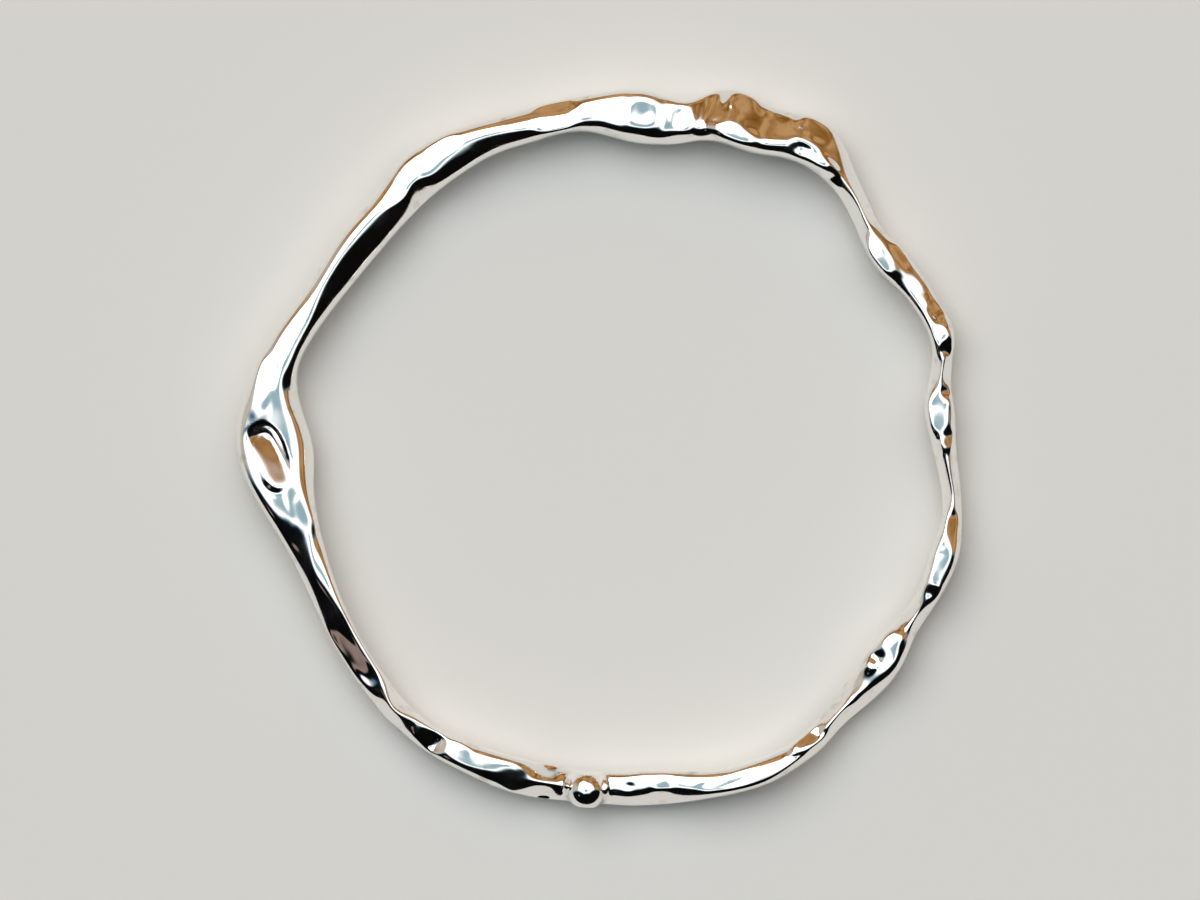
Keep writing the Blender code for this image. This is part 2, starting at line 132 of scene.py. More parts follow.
SECTIONS = (
    Section(3, 0.07, 0.72, 0.90, 0.10, 0.00, 0.25, 0.25, 3.0),
    Section(7, 0.00, 0.80, 0.90, 0.06, 0.00, 0.05, 0.10, 4.0),
    Section(10.5, 0.12, 0.69, 0.88, 0.12, 0.00, 0.10, 0.10, 3.4),
    Section(13, 0.29, 0.60, 0.92, 0.20, 0.00, 1.20, 1.20, 2.0),
    Section(15.5, 0.45, 0.58, 0.92, 0.22, 0.00, 0.80, 0.80, 2.2),
    Section(18, 0.56, 0.64, 0.92, 0.18, -0.20, 0.00, 0.20, 3.6),
    Section(24, 0.56, 0.67, 0.90, 0.10, -0.40, 0.00, 0.60, 4.6),
    Section(29, 0.42, 0.72, 0.88, 0.14, -0.30, 0.00, 0.30, 5.0),
    Section(35, 0.20, 0.85, 0.98, -0.04, 0.10, 0.05, 0.65, 5.0),
    Section(40, 0.29, 0.68, 0.96, 0.02, 0.10, 0.05, 0.50, 4.2),
    Section(43.5, 0.47, 0.64, 0.95, 0.14, 0.00, 1.20, 1.20, 2.0),
    Section(47, 0.66, 0.67, 0.93, 0.20, 0.00, 1.20, 1.20, 2.0),
    Section(50.5, 0.80, 0.80, 0.92, 0.15, -0.20, 0.60, 0.80, 2.4),
    Section(55, 0.86, 1.15, 1.04, 0.04, -0.30, 0.25, 0.55, 4.0),
    Section(60, 0.76, 1.31, 1.12, -0.07, -0.30, 0.25, 0.62, 4.4),
    Section(66, 0.48, 1.36, 1.10, -0.09, -0.50, 0.05, 0.58, 4.6),
    Section(72, 0.43, 1.48, 1.12, 0.00, -0.30, 0.05, 0.60, 4.8),
    Section(75.8, 0.32, 1.33, 1.00, 0.08, -0.50, 0.50, 0.50, 4.4),
    Section(78.7, 0.15, 1.18, 0.98, 0.20, -0.50, 1.00, 0.05, 4.0),
    Section(81.8, 0.04, 1.26, 0.98, 0.10, -0.75, 2.00, 0.05, 4.6),
    Section(86, 0.01, 1.40, 1.00, 0.00, -0.75, 2.00, 0.05, 5.6),
    Section(91.5, 0.16, 1.23, 0.98, -0.08, -0.75, 2.00, 0.10, 4.4),
    Section(95.2, 0.32, 1.01, 0.92, 0.04, -0.60, 0.60, 0.10, 3.4),
    Section(98.5, 0.38, 0.93, 0.94, 0.00, -0.60, 0.10, 0.30, 3.0),
    Section(105, 0.35, 0.91, 0.96, 0.10, -0.20, 0.20, 0.40, 3.0),
    Section(113, 0.37, 0.96, 1.00, 0.10, 0.10, 0.35, 0.20, 3.2),
    Section(120, 0.30, 1.20, 0.97, 0.00, 0.00, 0.25, 0.10, 3.8),
    Section(125, 0.26, 1.26, 0.96, 0.06, -0.40, 0.80, 0.10, 4.2),
    Section(127.8, 0.24, 1.24, 0.96, 0.14, -0.20, 1.10, 0.05, 3.8),
    Section(130.4, 0.20, 1.18, 0.98, 0.13, -0.30, 0.90, 0.10, 3.2),
    Section(134, 0.15, 1.10, 1.02, 0.10, 0.10, 0.50, 0.15, 3.2),
    Section(143, 0.13, 1.08, 1.04, 0.02, 0.30, 0.45, 0.15, 3.6),
    Section(152, 0.29, 0.92, 1.00, 0.12, 0.20, 0.45, 0.20, 3.2),
    Section(160, 0.54, 0.94, 1.00, 0.08, -0.50, 0.30, 0.10, 3.6),
    Section(167, 0.65, 1.13, 1.02, -0.03, -0.30, 0.20, 0.10, 4.0),
    Section(173, 0.35, 1.62, 1.02, -0.08, -0.70, 1.80, 0.05, 4.6),
    Section(180, 0.00, 2.03, 1.00, -0.09, -0.80, 2.00, 0.05, 5.6),
    Section(186, 0.03, 1.70, 1.04, -0.06, -0.80, 2.00, 0.00, 5.6),
    Section(193, 0.07, 1.19, 1.06, 0.06, -0.80, 1.20, 0.10, 5.0),
    Section(202, 0.14, 0.83, 1.02, 0.14, 0.05, 0.00, 0.70, 4.6),
    Section(213, 0.31, 0.72, 0.98, 0.16, -1.10, 0.00, 0.50, 5.6),
    Section(222, 0.47, 0.70, 0.94, 0.08, -1.10, 0.00, 0.45, 5.2),
    Section(225.5, 0.54, 0.70, 0.93, 0.04, -0.40, 0.30, 0.60, 2.8),
    Section(228.5, 0.63, 0.69, 0.92, 0.00, 0.00, 1.20, 1.20, 2.0),
    Section(231.5, 0.68, 0.66, 0.90, -0.03, -0.30, 0.60, 0.70, 2.6),
    Section(236, 0.71, 0.67, 0.88, -0.06, -1.00, 0.00, 0.40, 4.6),
    Section(242, 0.61, 0.77, 0.93, -0.08, 0.30, 0.05, 0.15, 4.4),
    Section(248, 0.50, 0.90, 0.92, 0.00, 0.20, 0.05, 0.30, 4.0),
    Section(254, 0.45, 0.95, 0.84, 0.10, 0.10, 0.10, 0.40, 2.8),
    Section(257.5, 0.45, 0.90, 0.80, 0.14, 0.00, 1.10, 1.10, 2.0),
    Section(261, 0.43, 0.88, 0.70, 0.13, 0.00, 0.10, 0.10, 2.6),
    Section(266.5, 0.42, 0.87, 0.68, 0.09, 0.00, 0.10, 0.60, 4.0),
    Section(270.5, 0.40, 0.92, 0.78, 0.02, 0.30, 0.05, 1.20, 4.6),
    Section(276, 0.40, 0.95, 0.88, -0.03, 0.10, 0.05, 1.20, 5.4),
    Section(285, 0.66, 0.77, 0.96, 0.02, 0.40, 0.20, 0.45, 4.0),
    Section(294, 0.84, 0.72, 1.00, 0.06, 0.50, 0.35, 0.35, 4.0),
    Section(301, 0.86, 0.64, 0.96, 0.18, 0.30, 0.50, 1.10, 2.8),
    Section(305.5, 0.77, 0.62, 0.92, 0.22, 0.00, 0.60, 0.90, 2.6),
    Section(308.5, 0.64, 0.64, 0.90, 0.20, 0.00, 1.20, 1.20, 2.0),
    Section(313, 0.50, 0.78, 0.88, 0.06, 0.00, 1.10, 1.10, 2.1),
    Section(317.5, 0.39, 0.95, 0.90, -0.06, 0.30, 0.20, 1.00, 3.6),
    Section(322, 0.33, 0.98, 0.98, -0.09, 0.60, 0.20, 0.90, 4.6),
    Section(326.5, 0.42, 0.74, 0.92, 0.08, 0.20, 0.10, 0.60, 4.2),
    Section(330.5, 0.54, 0.60, 0.88, 0.17, 0.00, 1.20, 1.20, 2.0),
    Section(333.8, 0.60, 0.60, 0.92, 0.13, 0.00, 0.30, 0.30, 2.6),
    Section(338, 0.58, 0.68, 0.98, 0.03, 0.50, 0.00, 0.60, 4.4),
    Section(342, 0.54, 0.75, 1.00, -0.03, 0.50, 0.00, 0.60, 4.6),
    Section(347, 0.58, 0.60, 0.95, 0.10, -0.40, 0.00, 0.55, 3.6),
    Section(351, 0.53, 0.52, 0.88, 0.20, 0.00, 0.90, 0.90, 2.2),
    Section(355.5, 0.35, 0.55, 0.90, 0.20, 0.00, 0.90, 0.90, 2.0),
    Section(359.5, 0.18, 0.63, 0.90, 0.15, 0.00, 0.50, 0.50, 2.1),
)


class Mark(NamedTuple):
    """One hollow or pip in the band's surface.

    angle is in degrees round the ring, and around in degrees round the section: 0 is the outer
    side, 90 the top, 180 the finger's side and 270 the underside. reach is its radius and rise
    its height, as shares of the mark size, with a rise below 0 for a hollow. long is how many
    times longer it is along the band than across.
    """

    angle: float
    around: float
    reach: float
    rise: float
    long: float


MARKS = (
    Mark(9.9, 55, 0.26, -0.10, 1.0),
    Mark(17, 73, 0.28, -0.10, 1.0),
    Mark(31, 325, 0.42, -0.10, 1.6),
    Mark(42, 117, 0.22, -0.06, 1.0),
    Mark(66, 215, 0.50, -0.12, 1.6),
    Mark(108, 325, 0.45, -0.10, 2.0),
    Mark(141, 325, 0.50, -0.10, 2.0),
    Mark(172, 215, 0.55, -0.12, 1.8),
    Mark(205, 325, 0.42, -0.09, 2.2),
    Mark(245, 215, 0.40, -0.09, 2.0),
    Mark(271.5, 101, 0.16, -0.03, 1.3),
    Mark(288, 325, 0.42, -0.10, 2.0),
    Mark(313, 90, 0.18, -0.04, 2.0),
    Mark(325, 215, 0.38, -0.08, 1.6),
)


class Facet(NamedTuple):
    """One flat that set on the band's top as it cooled.

    angle and around are its middle, in degrees round the ring and round the section. long and
    wide are half its size along the band and across, lift how far it stands over the surface at
    its middle, all as shares of the mark size. It falls with a slope of fall towards a compass
    direction in degrees from +X, and crown is how much steeper it gets towards its edges: below
    0 it is dished. turn is the degrees from the band's run to its long side, and core the share of
    its reach that is wholly flat.
    """

    angle: float
    around: float
    long: float
    wide: float
    lift: float
    fall: float
    toward: float
    crown: float = 0.0
    turn: float = 0.0
    core: float = 0.45


FACETS = (
    Facet(1.6, 80, 0.36, 0.24, 0.00, 0.50, 32, 0.10),
    Facet(6, 101, 0.70, 0.38, 0.00, 0.05, 100, 0.08),
    Facet(20, 90, 0.25, 0.26, 0.00, 0.10, 120, 0.10),
    Facet(24.5, 70, 0.46, 0.26, 0.00, 0.60, 15, 0.10, 10.0),
    Facet(35, 54, 0.58, 0.20, 0.00, 0.62, 25, 0.10),
    Facet(36, 115, 0.75, 0.28, 0.00, 0.05, 120, 0.12),
    Facet(51.4, 125, 0.22, 0.16, 0.00, 0.40, 260, 0.10),
    Facet(58.8, 57, 0.70, 0.38, 0.00, 0.60, 52, 0.14),
    Facet(56.5, 118, 0.85, 0.26, 0.00, 0.10, 150, 0.12),
    Facet(70.5, 57, 0.60, 0.40, 0.00, 0.60, 62, 0.14),
    Facet(70, 121, 0.85, 0.30, -0.02, 0.04, 120, 0.04),
    Facet(79, 90, 0.40, 0.50, 0.00, 0.12, 120, 0.10),
    Facet(86, 82, 0.62, 0.60, 0.00, 0.03, 90, -0.20),
    Facet(101, 112, 0.80, 0.34, 0.00, 0.12, 100, 0.10),
    Facet(101, 54, 0.75, 0.20, 0.00, 0.62, 95, 0.10),
    Facet(121, 65, 0.70, 0.32, 0.00, 0.10, 110, 0.15),
    Facet(128, 78, 0.42, 0.34, 0.00, 0.12, 150, 0.10),
    Facet(170, 70, 1.10, 0.40, 0.00, 0.10, 120, 0.12),
    Facet(191, 112, 0.85, 0.38, 0.00, 0.00, 90, 0.16, 10.0),
    Facet(181.4, 82, 0.95, 0.42, -0.08, 0.50, 60, 0.05, 22.0, 0.85),
    Facet(217, 84, 1.20, 0.28, 0.00, 0.48, 215, 0.12),
    Facet(236, 90, 0.58, 0.36, 0.00, 0.35, 290, 0.10),
    Facet(242, 107, 0.50, 0.32, 0.00, 0.08, 140, 0.12),
    Facet(251, 61, 0.50, 0.20, 0.00, 0.30, 290, 0.10, -20.0),
    Facet(277, 107, 0.40, 0.32, 0.00, 0.08, 110, 0.12),
    Facet(288, 96, 1.00, 0.24, 0.00, 0.10, 110, 0.15),
    Facet(302.5, 115, 0.70, 0.24, 0.00, 0.60, 90, 0.10),
    Facet(320, 117, 0.32, 0.24, 0.00, 0.55, 90, 0.10),
    Facet(325, 101, 0.40, 0.28, 0.00, 0.10, 130, 0.12),
    Facet(336, 79, 0.25, 0.26, 0.00, 0.45, 250, 0.10),
    Facet(341, 101, 0.45, 0.28, 0.00, 0.08, 150, 0.12),
    Facet(347, 90, 0.48, 0.26, 0.00, 0.58, 25, 0.10),
)


@dataclass(frozen=True)
class CastSilver:
    """Sterling silver, cast and tumbled to a bright polish.

    The tumbled polish mirrors its surroundings sharply, with a soft haze and hair-fine scratches.
    A trace of tarnish stays in blotches.

    Attributes:
        bright: colour of the clean metal.
        tarnish: colour of a blotch.
        tarnish_size: size of a blotch.
        tarnish_from: noise value below which the metal is all tarnish.
        tarnish_to: noise value above which it is clean.
        tarnish_detail: how ragged a blotch is.
        roughness: roughness where the polish is best.
        haze: how much rougher a hazy spot is.
        haze_size: size of a hazy spot.
        haze_from: noise value at which haze starts.
        haze_to: noise value at which it is full.
        haze_detail: how ragged a hazy spot is.
        scratch_spacing: distance between scratches.
        scratch_strength: how much of their height shows.
        scratch_height: height of a scratch's edge.
        scratch_turn: how the scratches lie, in radians.
        scratch_stretch: how long they are drawn out along each axis.
        scratch_detail: how fine their branches are.
        scratch_wander: how much they bend.
    """

    bright: str = "#FBF9F5"
    tarnish: str = "#D9D2C6"
    tarnish_size: float = 0.5 * MM
    tarnish_from: float = 0.22
    tarnish_to: float = 0.42
    tarnish_detail: float = 3.0
    roughness: float = 0.07
    haze: float = 0.10
    haze_size: float = 0.9 * MM
    haze_from: float = 0.45
    haze_to: float = 0.75
    haze_detail: float = 4.0
    # Tumbling scratches are some microns wide. They are drawn 0.05 mm apart so that they show.
    scratch_spacing: float = 0.05 * MM
    scratch_strength: float = 0.10
    scratch_height: float = 0.002 * MM
    scratch_turn: tuple[float, float, float] = (0.4, 0.3, 0.7)
    scratch_stretch: tuple[float, float, float] = (1.0, 0.12, 1.0)
    scratch_detail: float = 2.0
    scratch_wander: float = 0.4

    def material(self) -> bpy.types.Material:
        """Builds the node material.

        Returns:
            The material.
        """
        made = bpy.data.materials.new("cast_silver_tumbled")
        made.use_nodes = True
        tree = made.node_tree
        shader = tree.nodes["Principled BSDF"]
        shader.inputs["Metallic"].default_value = 1.0
        place = add_node(tree, "ShaderNodeTexCoord").outputs["Object"]

        blotch = add_node(
            tree,
            "ShaderNodeTexNoise",
            values={"Scale": 1 / self.tarnish_size, "Detail": self.tarnish_detail},
            links={"Vector": place},
        )
        tint = add_node(tree, "ShaderNodeValToRGB", links={"Fac": blotch.outputs["Fac"]})
        tint.color_ramp.elements[0].position = self.tarnish_from
        tint.color_ramp.elements[0].color = linear(self.tarnish)
        tint.color_ramp.elements[1].position = self.tarnish_to
        tint.color_ramp.elements[1].color = linear(self.bright)
        tree.links.new(tint.outputs["Color"], shader.inputs["Base Color"])

        haze = add_node(
            tree,
            "ShaderNodeTexNoise",
            values={"Scale": 1 / self.haze_size, "Detail": self.haze_detail},
            links={"Vector": place},
        )
        rough = add_node(
            tree,
            "ShaderNodeMapRange",
            values={
                "From Min": self.haze_from,
                "From Max": self.haze_to,
                "To Min": self.roughness,
                "To Max": self.roughness + self.haze,
            },
            links={"Value": haze.outputs["Fac"]},
        )
        tree.links.new(rough.outputs["Result"], shader.inputs["Roughness"])

        stretch = add_node(
            tree,
            "ShaderNodeMapping",
            values={"Rotation": self.scratch_turn, "Scale": self.scratch_stretch},
            links={"Vector": place},
        )
        scratches = add_node(
            tree,
            "ShaderNodeTexNoise",
            values={
                "Scale": 1 / self.scratch_spacing,
                "Detail": self.scratch_detail,
                "Distortion": self.scratch_wander,
            },
            links={"Vector": stretch.outputs["Vector"]},
        )
        bump = add_node(
            tree,
            "ShaderNodeBump",
            values={"Strength": self.scratch_strength, "Distance": self.scratch_height},
            links={"Height": scratches.outputs["Fac"]},
        )
        tree.links.new(bump.outputs["Normal"], shader.inputs["Normal"])
        return made


@dataclass(frozen=True)
class TablePaper:
    """Matt pale paper: hardly any gloss, and a grain that is just felt.

    Attributes:
        colour: colour of the paper.
        roughness: how matt it is.
        gloss: how strongly its surface shines.
        grain_size: size of a grain.
        grain_height: height of a grain.
        grain_strength: how much of that height shows.
        grain_detail: how ragged a grain is.
    """

    colour: str = "#EFEFEA"
    roughness: float = 0.95
    gloss: float = 0.1
    grain_size: float = 0.4 * MM
    grain_height: float = 0.02 * MM
    grain_strength: float = 0.15
    grain_detail: float = 3.0

    def material(self) -> bpy.types.Material:
        """Builds the node material.

        Returns:
            The material.
        """
        made = bpy.data.materials.new("table_paper")
        made.use_nodes = True
        tree = made.node_tree
        shader = tree.nodes["Principled BSDF"]
        shader.inputs["Base Color"].default_value = linear(self.colour)
        shader.inputs["Roughness"].default_value = self.roughness
        shader.inputs["Specular IOR Level"].default_value = self.gloss
        place = add_node(tree, "ShaderNodeTexCoord").outputs["Object"]
        grain = add_node(
            tree,
            "ShaderNodeTexNoise",
            values={"Scale": 1 / self.grain_size, "Detail": self.grain_detail},
            links={"Vector": place},
        )
        bump = add_node(
            tree,
            "ShaderNodeBump",
            values={"Strength": self.grain_strength, "Distance": self.grain_height},
            links={"Height": grain.outputs["Fac"]},
        )
        tree.links.new(bump.outputs["Normal"], shader.inputs["Normal"])
        return made


def around_the_ring(angles: list[float], values: list[float], at: Array) -> Array:
    """Reads a smooth closed curve through a few values, a periodic cubic spline.

    Args:
        angles: where the values are, in degrees, rising.
        values: the value at each angle.
        at: the angles to read, in radians.

    Returns:
        The values there.
    """
    x = np.radians(np.asarray(angles, float))
    y = np.asarray(values, float)
    step = np.diff(np.append(x, x[0] + 2 * math.pi))
    rise = (np.roll(y, -1) - y) / step
    before = np.roll(step, 1)
    count = len(x)
    system = np.zeros((count, count))
    for i in range(count):
        system[i, i] = 2 * (before[i] + step[i])
        system[i, i - 1] += before[i]
        system[i, (i + 1) % count] += step[i]
    bend = np.linalg.solve(system, 6 * (rise - np.roll(rise, 1)))
    turn = (np.asarray(at, float) - x[0]) % (2 * math.pi)
    i = np.clip(np.searchsorted(x - x[0], turn, side="right") - 1, 0, count - 1)
    j = (i + 1) % count
    to_next = x[0] + np.cumsum(step)[i] - (x[0] + turn)
    from_last = step[i] - to_next
    return (
        bend[i] * to_next**3 / (6 * step[i])
        + bend[j] * from_last**3 / (6 * step[i])
        + (y[i] / step[i] - bend[i] * step[i] / 6) * to_next
        + (y[j] / step[i] - bend[j] * step[i] / 6) * from_last
    )


def soft_ramp(run: Array, soft: float) -> Array:
    """Turns a run into a ramp: 0 well below 0, the run itself well above it.

    Args:
        run: the values.
        soft: how wide the rounded turn between is.

    Returns:
        The ramp at each value.
    """
    return (run + np.sqrt(run**2 + soft**2)) / 2


def smooth_step(value: Array, low: float, high: float) -> Array:
    """Steps smoothly from 0 to 1.

    Args:
        value: the values.
        low: below this the step is 0.
        high: above this the step is 1.

    Returns:
        The step at each value.
    """
    share = np.clip((value - low) / (high - low), 0, 1)
    return share**2 * (3 - 2 * share)


@dataclass(frozen=True)
class Granule:
    """The round granule fused to the band's top.

    Attributes:
        diameter: across the ball.
        sunk: how deep it sits in the band.
        angle: where it sits, in degrees round the ring.
        around: where it sits, in degrees round the section.
    """

    diameter: float = 1.15 * MM
    sunk: float = 0.42 * MM
    angle: float = 264.3
    around: float = 84.0


@dataclass
class MoltenBand:
    """The band and its granule, as one skin.

    Attributes:
        finger_hole: diameter of the finger hole.
        wall: radial thickness of a section whose share is 1.
        height: height of a section whose share is 1.
        mark_size: size of a mark whose share is 1.
        hole_shift: how far the hole sits off the outline's middle, as a share of the wall.
        granule: the ball fused to the top.
        crease: width of the rounding along the crest, as a share of half the wall.
        lower_square: roundness of the sections' lower half.
        facet_rim: where a facet has wholly blended into the band, as a share of its reach.
        facet_full: how high up the section's side a facet is at full strength, as a sine.
        stations: sections round the ring.
        section_points: points round a section.
    """

    finger_hole: float = 17.3 * MM
    wall: float = 1.05 * MM
    height: float = 1.6 * MM
    mark_size: float = 1.0 * MM
    hole_shift: float = 0.54
    granule: Granule = Granule()
    crease: float = 0.18
    lower_square: float = 2.3
    facet_rim: float = 1.05
    facet_full: float = 0.4
    stations: int = 1000
    section_points: int = 96

    def column(self, name: str, angle: Array) -> Array:
        """Reads one column of the section table, smoothed round the ring.

        Args:
            name: the column.
            angle: the angles to read, in radians.

        Returns:
            The column's values there.
        """
        return around_the_ring(
            [s.angle for s in SECTIONS], [getattr(s, name) for s in SECTIONS], angle
        )

    def on_ring(self, angle: Array, radius: Array, height: Array) -> Array:
        """Places points round the finger's axis.

        Args:
            angle: round the ring, in radians.
            radius: how far each point is from the finger's axis.
            height: how far each point is above the table.

        Returns:
            The points.
        """
        shift = self.hole_shift * self.wall
        return np.stack([shift + radius * np.cos(angle), radius * np.sin(angle), height], axis=-1)

    def shape(self, angle: Array, around: Array) -> tuple[Array, Array]:
        """Works out the band before its marks.

        Args:
            angle: round the ring, in radians.
            around: round the section, in radians.

        Returns:
            The surface points, and the middle of each one's section.
        """
        half_wall = self.column("wall", angle) * self.wall / 2
        middle_radius = self.finger_hole / 2 + self.column("gap", angle) * self.wall + half_wall
        top = self.column("top", angle) * self.height
        foot = self.column("foot", angle) * self.height
        square = np.where(np.sin(around) > 0, self.column("square", angle), self.lower_square)
        reach = np.abs(np.cos(around)) ** square + np.abs(np.sin(around)) ** square
        across, up = np.stack([np.cos(around), np.sin(around)]) / reach ** (1 / square)
        middle_height = (top + foot) / 2
        out_of_crest = across - self.column("crest", angle)
        fall = self.column("outward", angle) * soft_ramp(out_of_crest, self.crease)
        fall += self.column("inward", angle) * soft_ramp(-out_of_crest, self.crease)
        height = middle_height + (top - foot) / 2 * up - fall * half_wall * np.clip(up, 0, None)
        middle = self.on_ring(angle, middle_radius, middle_height)
        return self.on_ring(angle, middle_radius + half_wall * across, height), middle

    def place(self, angle: float, around: float) -> tuple[Array, Array]:
        """Finds a point of the surface and the way out of the metal there.

        Args:
            angle: round the ring, in degrees.
            around: round the section, in degrees.

        Returns:
            The point, and a unit vector outwards.
        """
        point, middle = self.shape(np.radians([angle]), np.radians([around]))
        outwards = point[0] - middle[0]
        return point[0], outwards / np.linalg.norm(outwards)

    def mark_moves(self, mark: Mark, points: Array) -> Array:
        """Works out how far one hollow or pip moves each of the points.

        Args:
            mark: the hollow or pip.
            points: the skin's points.

        Returns:
            The move of each point.
        """
        centre, outwards = self.place(mark.angle, mark.around)
        turn = math.radians(mark.angle)
        along = np.array([-math.sin(turn), math.cos(turn), 0])
        reach = mark.reach * self.mark_size
        offset = points - centre
        run = offset @ along
        across = np.linalg.norm(offset - run[..., None] * along, axis=-1)
        swell = np.clip(1 - (across / reach) ** 2 - (run / reach / mark.long) ** 2, 0, None) ** 2
        return outwards * (mark.rise * self.mark_size * swell)[..., None]

    def facet_rise(self, facet: Facet, points: Array) -> Array:
        """Works out how far one facet raises each of the points.

        Args:
            facet: the facet.
            points: the skin's points.

        Returns:
            The rise of each point, before it fades out round the section.
        """
        centre, _ = self.place(facet.angle, facet.around)
        turn = math.radians(facet.angle + facet.turn)
        offset = points[..., :2] - centre[:2]
        run = offset @ np.array([-math.sin(turn), math.cos(turn)])
        across = offset @ np.array([math.cos(turn), math.sin(turn)])
        long, wide = facet.long * self.mark_size, facet.wide * self.mark_size
        reach = (np.abs(run / long) ** 3 + np.abs(across / wide) ** 3) ** (1 / 3)
        toward = math.radians(facet.toward)
        down = offset @ np.array([math.cos(toward), math.sin(toward)])
        crowned = (run**2 / long + across**2 / wide) / 2
        flat = centre[2] + facet.lift * self.mark_size - facet.fall * down - facet.crown * crowned
        return (flat - points[..., 2]) * (1 - smooth_step(reach, facet.core, self.facet_rim))

    def raise_granule(self, points: Array) -> Array:
        """Wraps the skin over the granule.

        Args:
            points: the skin's points.

        Returns:
            The points, moved out to the ball where it stands over them.
        """
        seat, axis = self.place(self.granule.angle, self.granule.around)
        radius = self.granule.diameter / 2
        centre = seat + axis * (radius - self.granule.sunk)
        offset = points - centre
        depth = offset @ axis
        side = np.linalg.norm(offset - depth[..., None] * axis, axis=-1)
        cap = np.sqrt(np.clip(radius**2 - side**2, 0, None))
        lift = np.where((side < radius) & (depth > -radius), np.clip(cap - depth, 0, None), 0)
        return points + lift[..., None] * axis

    def surface(self, angle: Array, around: Array) -> Array:
        """Works out the finished skin: shape, facets, marks, granule, and the feet planed flat.

        Args:
            angle: round the ring, in radians.
            around: round the section, in radians.

        Returns:
            The skin's points.
        """
        points, _ = self.shape(angle, around)
        upper = smooth_step(np.sin(around), 0.0, self.facet_full)
        for facet in FACETS:
            points[..., 2] += self.facet_rise(facet, points) * upper
        points = points + sum(self.mark_moves(mark, points) for mark in MARKS)
        points = self.raise_granule(points)
        points[..., 2] = np.maximum(points[..., 2], 0)
        return points

    def mesh(self) -> bpy.types.Mesh:
        """Lofts the skin as one closed mesh of quads.

        Returns:
            The mesh, smooth shaded.
        """
        turns = np.linspace(0, 2 * math.pi, self.stations, endpoint=False)
        rounds = np.linspace(0, 2 * math.pi, self.section_points, endpoint=False)
        angle, around = np.meshgrid(turns, rounds, indexing="ij")
        points = self.surface(angle.ravel(), around.ravel())
        index = np.arange(self.stations * self.section_points)
        index = index.reshape(self.stations, self.section_points)
        ahead, beside = np.roll(index, -1, axis=0), np.roll(index, -1, axis=1)
        faces = np.stack([index, ahead, np.roll(ahead, -1, axis=1), beside], axis=-1)
        made = bpy.data.meshes.new("molten_band")
        made.from_pydata(points.tolist(), [], faces.reshape(-1, 4).tolist())
        made.shade_smooth()
        made.update()
        return made


